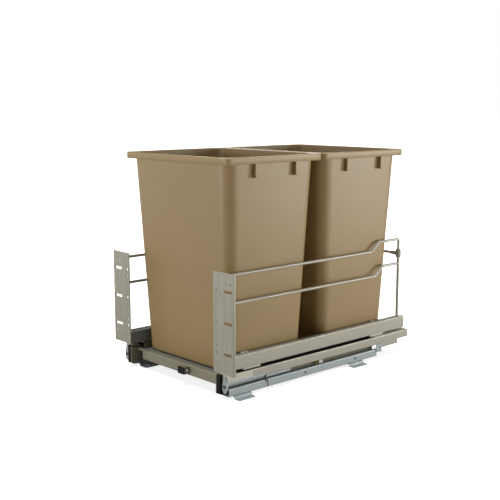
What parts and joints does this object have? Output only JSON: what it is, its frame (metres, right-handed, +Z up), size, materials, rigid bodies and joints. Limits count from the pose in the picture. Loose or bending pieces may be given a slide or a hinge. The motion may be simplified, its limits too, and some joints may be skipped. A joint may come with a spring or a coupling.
{
  "type": "pull-out recycling bin",
  "caption": "Waste bins one behind the other in a low steel pull-out frame on full-extension floor-mounted slides, with brackets for a cabinet door.",
  "frame": {"origin": "middle of the unit's outline on the cabinet floor, pushed in", "axes": "+X to the right seen from the front, +Y back into the cabinet, +Z up; the unit pulls out along -Y"},
  "size_m": [0.414, 0.59, 0.489],
  "materials": {
    "bin_plastic": "moulded, finely textured, warm grey-brown",
    "painted_steel": "powder-coated champagne grey",
    "zinc_steel": "zinc plated, blue-grey",
    "dark_steel": "phosphated, olive grey",
    "cream_plastic": "moulded, light cream",
    "bright_steel": "bright plated",
    "black_plastic": "moulded, satin",
    "grey_plastic": "moulded, satin grey",
    "white_nylon": "moulded, natural",
    "brass": "turned"
  },
  "bodies": {
    "base": {"cabinet_rail_left": "zinc_steel", "cabinet_rail_right": "zinc_steel", "foot_front_left": "zinc_steel", "foot_front_right": "zinc_steel", "foot_rear_left": "zinc_steel", "foot_rear_right": "zinc_steel", "foot_rivets_left": "zinc_steel", "foot_rivets_right": "zinc_steel"},
    "frame": {"side_panel_left": "painted_steel", "side_panel_right": "painted_steel", "drawer_rail_left": "painted_steel", "drawer_rail_right": "painted_steel", "door_bracket_left": "painted_steel", "door_bracket_right": "painted_steel", "upper_gallery_wire_left": "painted_steel", "upper_gallery_wire_right": "painted_steel", "lower_gallery_wire_left": "painted_steel", "lower_gallery_wire_right": "painted_steel", "wire_clip_left": "grey_plastic", "wire_clip_right": "grey_plastic", "front_coupling_left": "cream_plastic", "front_coupling_right": "cream_plastic", "lock_housing_left": "black_plastic", "lock_housing_right": "black_plastic", "guide_strip_left": "zinc_steel", "guide_strip_right": "zinc_steel", "side_ledge_left": "zinc_steel", "side_ledge_right": "zinc_steel", "panel_spacers_left": "cream_plastic", "panel_spacers_right": "cream_plastic", "lever_pivot_left": "zinc_steel", "lever_pivot_right": "zinc_steel", "rear_cross_wire": "painted_steel", "front_bar": "painted_steel", "seat_strip": "zinc_steel", "middle_support": "painted_steel", "rear_bar": "painted_steel", "bracket_studs": "zinc_steel", "ledge_screws": "bright_steel", "bar_socket": "painted_steel", "socket_insert": "black_plastic", "socket_screw": "bright_steel"},
    "bin_front": {"bin_front": "bin_plastic"},
    "bin_rear": {"bin_rear": "bin_plastic"},
    "middle_left": {"middle_runner_left": "dark_steel", "runner_buffer_left": "white_nylon", "buffer_pin_left": "brass"},
    "lower_carriage_left": {"lower_carriage_left": "black_plastic", "lower_rollers_left": "white_nylon"},
    "upper_carriage_left": {"upper_carriage_left": "black_plastic", "upper_rollers_left": "white_nylon"},
    "release_lever_left": {"release_lever_left": "zinc_steel"},
    "middle_right": {"middle_runner_right": "dark_steel", "runner_buffer_right": "white_nylon", "buffer_pin_right": "brass"},
    "lower_carriage_right": {"lower_carriage_right": "black_plastic", "lower_rollers_right": "white_nylon"},
    "upper_carriage_right": {"upper_carriage_right": "black_plastic", "upper_rollers_right": "white_nylon"},
    "release_lever_right": {"release_lever_right": "zinc_steel"}
  },
  "joints": [
    {"name": "pull_out", "type": "slide", "parent": "base", "child": "frame", "axis": [0, -1, 0], "range_m": [0, 0.45]},
    {"name": "middle_left_slide", "type": "slide", "parent": "base", "child": "middle_left", "axis": [0, -1, 0], "range_m": [0, 0.225]},
    {"name": "lower_carriage_left_slide", "type": "slide", "parent": "base", "child": "lower_carriage_left", "axis": [0, -1, 0], "range_m": [0, 0.1125]},
    {"name": "upper_carriage_left_slide", "type": "slide", "parent": "base", "child": "upper_carriage_left", "axis": [0, -1, 0], "range_m": [0, 0.3375]},
    {"name": "release_lever_left_turn", "type": "hinge", "parent": "frame", "child": "release_lever_left", "pos_m": [-0.17018, -0.28645, 0.029], "axis": [0, -1, 0], "range_deg": [0, 12], "stiffness_Nm_per_rad": 0.05},
    {"name": "middle_right_slide", "type": "slide", "parent": "base", "child": "middle_right", "axis": [0, -1, 0], "range_m": [0, 0.225]},
    {"name": "lower_carriage_right_slide", "type": "slide", "parent": "base", "child": "lower_carriage_right", "axis": [0, -1, 0], "range_m": [0, 0.1125]},
    {"name": "upper_carriage_right_slide", "type": "slide", "parent": "base", "child": "upper_carriage_right", "axis": [0, -1, 0], "range_m": [0, 0.3375]},
    {"name": "release_lever_right_turn", "type": "hinge", "parent": "frame", "child": "release_lever_right", "pos_m": [0.17018, -0.28645, 0.029], "axis": [0, 1, 0], "range_deg": [0, 12], "stiffness_Nm_per_rad": 0.05},
    {"name": "bin_front_lift", "type": "slide", "parent": "frame", "child": "bin_front", "axis": [0, 0, 1], "range_m": [0, 0.45]},
    {"name": "bin_rear_lift", "type": "slide", "parent": "frame", "child": "bin_rear", "axis": [0, 0, 1], "range_m": [0, 0.45]}
  ],
  "couplings": [
    {"joint": "middle_left_slide", "follows": "pull_out", "ratio": 0.5},
    {"joint": "lower_carriage_left_slide", "follows": "pull_out", "ratio": 0.25},
    {"joint": "upper_carriage_left_slide", "follows": "pull_out", "ratio": 0.75},
    {"joint": "middle_right_slide", "follows": "pull_out", "ratio": 0.5},
    {"joint": "lower_carriage_right_slide", "follows": "pull_out", "ratio": 0.25},
    {"joint": "upper_carriage_right_slide", "follows": "pull_out", "ratio": 0.75}
  ]
}
